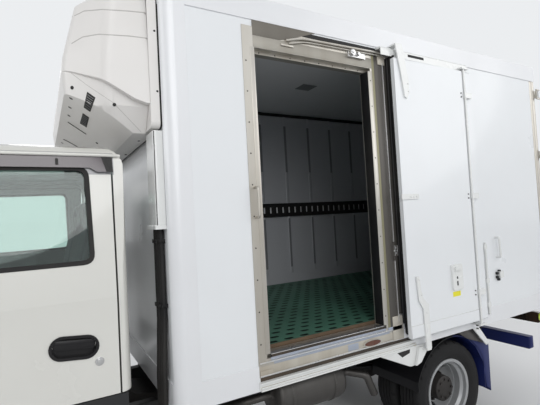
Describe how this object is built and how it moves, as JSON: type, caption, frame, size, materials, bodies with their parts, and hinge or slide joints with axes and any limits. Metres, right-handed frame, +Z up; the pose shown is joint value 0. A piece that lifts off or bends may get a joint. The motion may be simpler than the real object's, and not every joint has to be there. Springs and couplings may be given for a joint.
{
  "type": "light refrigerated truck",
  "caption": "Small forward-control truck with an insulated box, an open sliding side door, rear doors and a cooling unit over the cab.",
  "frame": {"origin": "centre of the outline's footprint, on the ground under the tyres", "axes": "+Z up, -Y the way the truck faces, +X its left side, where the sliding door is"},
  "size_m": [2.124, 4.9, 2.83],
  "materials": {
    "black_paint": "satin, dusty",
    "dark_iron": "rough, dusty",
    "dark_grey_paint": "satin",
    "silver_steel": "brushed, stained",
    "white_panel": "glossy, lightly soiled",
    "white_paint": "glossy",
    "pale_aluminium": "satin",
    "black_plastic": "matt",
    "grey_plastic": "matt",
    "green_plastic": "matt",
    "navy_plastic": "satin",
    "black_rubber": "matt",
    "red_lens": "glossy",
    "clear_lens": "glossy",
    "green_glass": "glossy",
    "grey_cloth": "woven",
    "grey_wheel": "satin, dusty",
    "tyre": "matt, dusty"
  },
  "bodies": {
    "chassis": {"frame_rails": "black_paint", "leaf_springs": "black_paint", "axles": "dark_iron", "engine_block": "dark_iron", "side_tanks": "dark_grey_paint", "muffler": "silver_steel", "box_floor": "white_panel", "box_left_wall": "white_panel", "box_right_wall": "white_panel", "box_front_wall": "white_panel", "box_roof": "white_panel", "rear_portal": "silver_steel", "edge_rails": "pale_aluminium", "door_frame": "silver_steel", "sliding_door": "white_panel", "side_gear": "white_paint", "lashing_rails": "black_plastic", "floor_mat": "green_plastic", "evaporator": "pale_aluminium", "cooling_housing": "white_panel", "cooling_grille": "black_plastic", "pipe_cover": "white_paint", "rubber_parts": "black_rubber", "front_bumper": "grey_plastic", "blue_guards": "navy_plastic", "marker_lamps": "red_lens"},
    "cab": {"cab_shell": "white_paint", "cab_roof": "white_paint", "cab_floor": "dark_grey_paint", "cab_steps": "dark_grey_paint", "cab_arches": "dark_grey_paint", "cab_glass": "green_glass", "front_grille": "black_plastic", "headlamps": "clear_lens", "dashboard": "grey_plastic", "seats": "grey_cloth", "mirrors": "black_plastic"},
    "steering_wheel": {"steering_wheel": "black_plastic"},
    "cab_door_left": {"cab_door_left": "white_paint", "door_glass_left": "green_glass"},
    "rear_door_left": {"rear_door_left": "white_panel"},
    "knuckle_left": {"knuckle_left": "dark_iron"},
    "front_wheel_left": {"front_wheel_left": "grey_wheel", "front_tyre_left": "tyre"},
    "rear_wheels_left": {"rear_wheels_left": "grey_wheel", "rear_tyres_left": "tyre"},
    "cab_door_right": {"cab_door_right": "white_paint", "door_glass_right": "green_glass"},
    "rear_door_right": {"rear_door_right": "white_panel"},
    "knuckle_right": {"knuckle_right": "dark_iron"},
    "front_wheel_right": {"front_wheel_right": "grey_wheel", "front_tyre_right": "tyre"},
    "rear_wheels_right": {"rear_wheels_right": "grey_wheel", "rear_tyres_right": "tyre"}
  },
  "joints": [
    {"name": "cab_tilt", "type": "hinge", "parent": "chassis", "child": "cab", "pos_m": [0, -2.4, 0.62], "axis": [1, 0, 0], "range_deg": [0, 45]},
    {"name": "cab_door_left_swing", "type": "hinge", "parent": "cab", "child": "cab_door_left", "pos_m": [0.8415, -2.064, 1], "axis": [0, 0, -1], "range_deg": [0, 68]},
    {"name": "rear_door_left_swing", "type": "hinge", "parent": "chassis", "child": "rear_door_left", "pos_m": [0.947, 2.43, 1.8], "axis": [0, 0, -1], "range_deg": [0, 265]},
    {"name": "steer_left", "type": "hinge", "parent": "chassis", "child": "knuckle_left", "pos_m": [0.62, -1.36, 0.342], "axis": [0, 0, 1], "range_deg": [-35, 35]},
    {"name": "front_wheel_left_spin", "type": "hinge", "parent": "knuckle_left", "child": "front_wheel_left", "pos_m": [0.7, -1.36, 0.342], "axis": [1, 0, 0], "continuous": true},
    {"name": "rear_wheels_left_spin", "type": "hinge", "parent": "chassis", "child": "rear_wheels_left", "pos_m": [0.755, 1.13, 0.342], "axis": [1, 0, 0], "continuous": true},
    {"name": "cab_door_right_swing", "type": "hinge", "parent": "cab", "child": "cab_door_right", "pos_m": [-0.8415, -2.064, 1], "axis": [0, 0, 1], "range_deg": [0, 68]},
    {"name": "rear_door_right_swing", "type": "hinge", "parent": "chassis", "child": "rear_door_right", "pos_m": [-0.947, 2.43, 1.8], "axis": [0, 0, 1], "range_deg": [0, 265]},
    {"name": "steer_right", "type": "hinge", "parent": "chassis", "child": "knuckle_right", "pos_m": [-0.62, -1.36, 0.342], "axis": [0, 0, 1], "range_deg": [-35, 35]},
    {"name": "front_wheel_right_spin", "type": "hinge", "parent": "knuckle_right", "child": "front_wheel_right", "pos_m": [-0.7, -1.36, 0.342], "axis": [1, 0, 0], "continuous": true},
    {"name": "rear_wheels_right_spin", "type": "hinge", "parent": "chassis", "child": "rear_wheels_right", "pos_m": [-0.755, 1.13, 0.342], "axis": [1, 0, 0], "continuous": true},
    {"name": "steering_wheel_turn", "type": "hinge", "parent": "cab", "child": "steering_wheel", "pos_m": [-0.41, -2.01, 1.3], "axis": [0, 0.7431, 0.6691], "range_deg": [-540, 540]}
  ],
  "couplings": [
    {"joint": "steer_right", "follows": "steer_left", "ratio": 1}
  ]
}
